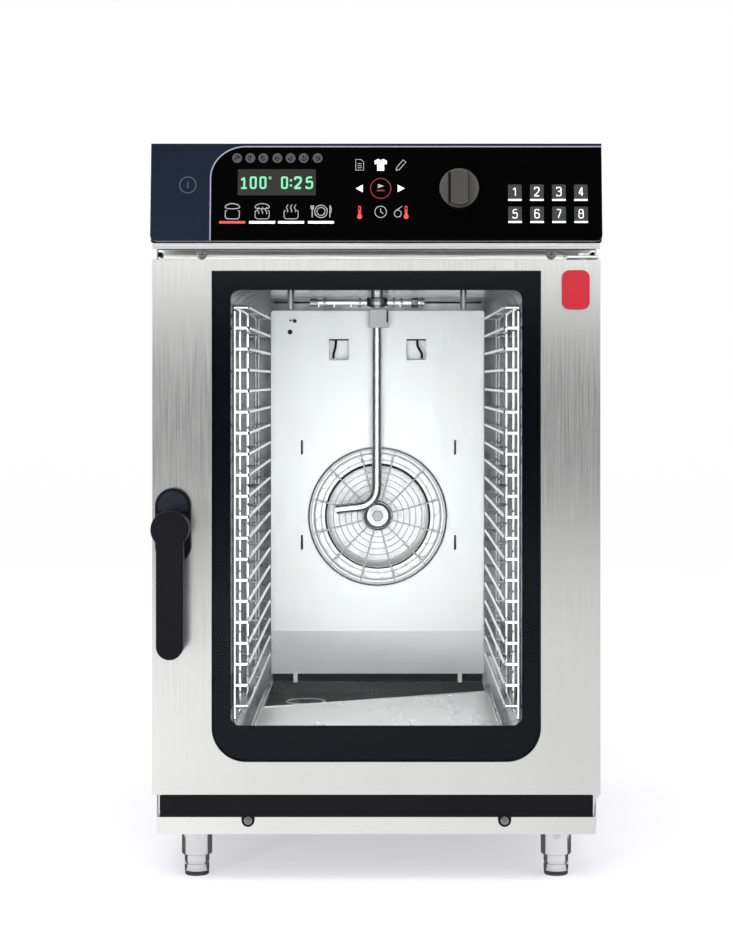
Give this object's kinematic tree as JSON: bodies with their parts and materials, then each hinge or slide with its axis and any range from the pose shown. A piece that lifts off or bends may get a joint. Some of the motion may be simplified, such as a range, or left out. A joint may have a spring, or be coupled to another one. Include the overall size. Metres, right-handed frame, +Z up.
{
  "type": "combi steamer oven",
  "caption": "Compact counter-top combi steamer with glazed swing door, turn handle, wire pan racks, radial fan, steam tube, touch panel with selector knob and screw feet.",
  "frame": {"origin": "on the floor, under the middle of the whole object", "axes": "+Z up, -Y towards the user (door side), +X to the user's right (hinge side)"},
  "size_m": [0.515, 0.777, 0.857],
  "materials": {
    "brushed_steel": "fine vertical grain, satin",
    "polished_steel": "bright drawn, light polish",
    "chamber_steel": "bright annealed, soft mirror",
    "rack_wire": "electropolished round wire",
    "zinc_sheet": "galvanised sheet, matt grey",
    "fascia_black": "back-printed panel, high gloss",
    "door_glass": "tinted, printed dark border",
    "clear_glass": "clear coated pane",
    "black_plastic": "fine moulded texture, satin",
    "grey_plastic": "moulded, matt",
    "knob_grey": "soft-touch, satin",
    "red_enamel": "domed, high gloss",
    "seal_rubber": "silicone, matt",
    "mineral_wool": "fibrous blanket",
    "circuit_board": "solder mask",
    "motor_casting": "cast, painted grey"
  },
  "bodies": {
    "cabinet": {"base_frame": "brushed_steel", "left_side_panel": "brushed_steel", "right_side_panel": "brushed_steel", "top_panel": "brushed_steel", "rear_panel": "zinc_sheet", "motor_cover": "zinc_sheet", "front_frame": "brushed_steel", "cavity_liner": "chamber_steel", "insulation_jacket": "mineral_wool", "fan_baffle": "chamber_steel", "fan_guard": "rack_wire", "heating_element": "polished_steel", "steam_tube": "polished_steel", "tube_holder": "grey_plastic", "temperature_probe": "polished_steel", "vent_pipe": "polished_steel", "drain_strainer": "polished_steel", "drain_pipe": "grey_plastic", "wash_feed": "polished_steel", "fan_motor": "motor_casting", "water_valve": "grey_plastic", "cable_gland": "black_plastic", "control_housing": "brushed_steel", "housing_screw_left": "polished_steel", "housing_screw_right": "polished_steel", "fascia_glass": "fascia_black", "display_module": "black_plastic", "control_board": "circuit_board", "encoder_body": "grey_plastic", "latch_strike": "polished_steel", "hinge_bracket_top": "brushed_steel", "hinge_bracket_bottom": "brushed_steel", "hinge_pin_top": "polished_steel", "hinge_pin_bottom": "polished_steel", "drip_trough": "black_plastic", "trough_screw_left": "polished_steel", "trough_screw_right": "polished_steel", "foot_sleeve_front_left": "polished_steel", "foot_sleeve_front_right": "polished_steel", "foot_sleeve_rear_left": "polished_steel", "foot_sleeve_rear_right": "polished_steel"},
    "door": {"door_shell": "brushed_steel", "outer_glass": "door_glass", "door_inner_frame": "brushed_steel", "inner_glass": "clear_glass", "door_gasket": "seal_rubber", "door_badge": "red_enamel", "handle_plate": "black_plastic"},
    "handle": {"handle_lever": "black_plastic", "latch_cam": "polished_steel"},
    "knob": {"selector_knob": "knob_grey"},
    "fan": {"fan_wheel": "polished_steel", "fan_shaft": "polished_steel"},
    "wash_rotor": {"wash_arm": "polished_steel"},
    "left_rack": {"rack_left": "rack_wire"},
    "right_rack": {"rack_right": "rack_wire"},
    "foot_front_left": {"foot_stem_front_left": "polished_steel"},
    "foot_front_right": {"foot_stem_front_right": "polished_steel"},
    "foot_rear_left": {"foot_stem_rear_left": "polished_steel"},
    "foot_rear_right": {"foot_stem_rear_right": "polished_steel"}
  },
  "joints": [
    {"name": "door_swing", "type": "hinge", "parent": "cabinet", "child": "door", "pos_m": [0.238, -0.3105, 0.412], "axis": [0, 0, 1], "range_deg": [0, 120]},
    {"name": "handle_turn", "type": "hinge", "parent": "door", "child": "handle", "pos_m": [-0.232, -0.3565, 0.4125], "axis": [0, -1, 0], "range_deg": [0, 90]},
    {"name": "knob_turn", "type": "hinge", "parent": "cabinet", "child": "knob", "pos_m": [0.0945, -0.34298, 0.799], "axis": [0, -0.9923, 0.1236], "continuous": true},
    {"name": "fan_spin", "type": "hinge", "parent": "cabinet", "child": "fan", "pos_m": [0, 0.3035, 0.387], "axis": [0, 1, 0], "continuous": true},
    {"name": "wash_arm_spin", "type": "hinge", "parent": "cabinet", "child": "wash_rotor", "pos_m": [0, 0.0085, 0.682], "axis": [0, 0, 1], "continuous": true},
    {"name": "rack_left_lift", "type": "slide", "parent": "cabinet", "child": "left_rack", "axis": [0, 0, 1], "range_m": [0, 0.012]},
    {"name": "rack_right_lift", "type": "slide", "parent": "cabinet", "child": "right_rack", "axis": [0, 0, 1], "range_m": [0, 0.012]},
    {"name": "foot_front_left_height", "type": "slide", "parent": "cabinet", "child": "foot_front_left", "axis": [0, 0, -1], "range_m": [0, 0.015]},
    {"name": "foot_front_right_height", "type": "slide", "parent": "cabinet", "child": "foot_front_right", "axis": [0, 0, -1], "range_m": [0, 0.015]},
    {"name": "foot_rear_left_height", "type": "slide", "parent": "cabinet", "child": "foot_rear_left", "axis": [0, 0, -1], "range_m": [0, 0.015]},
    {"name": "foot_rear_right_height", "type": "slide", "parent": "cabinet", "child": "foot_rear_right", "axis": [0, 0, -1], "range_m": [0, 0.015]}
  ]
}
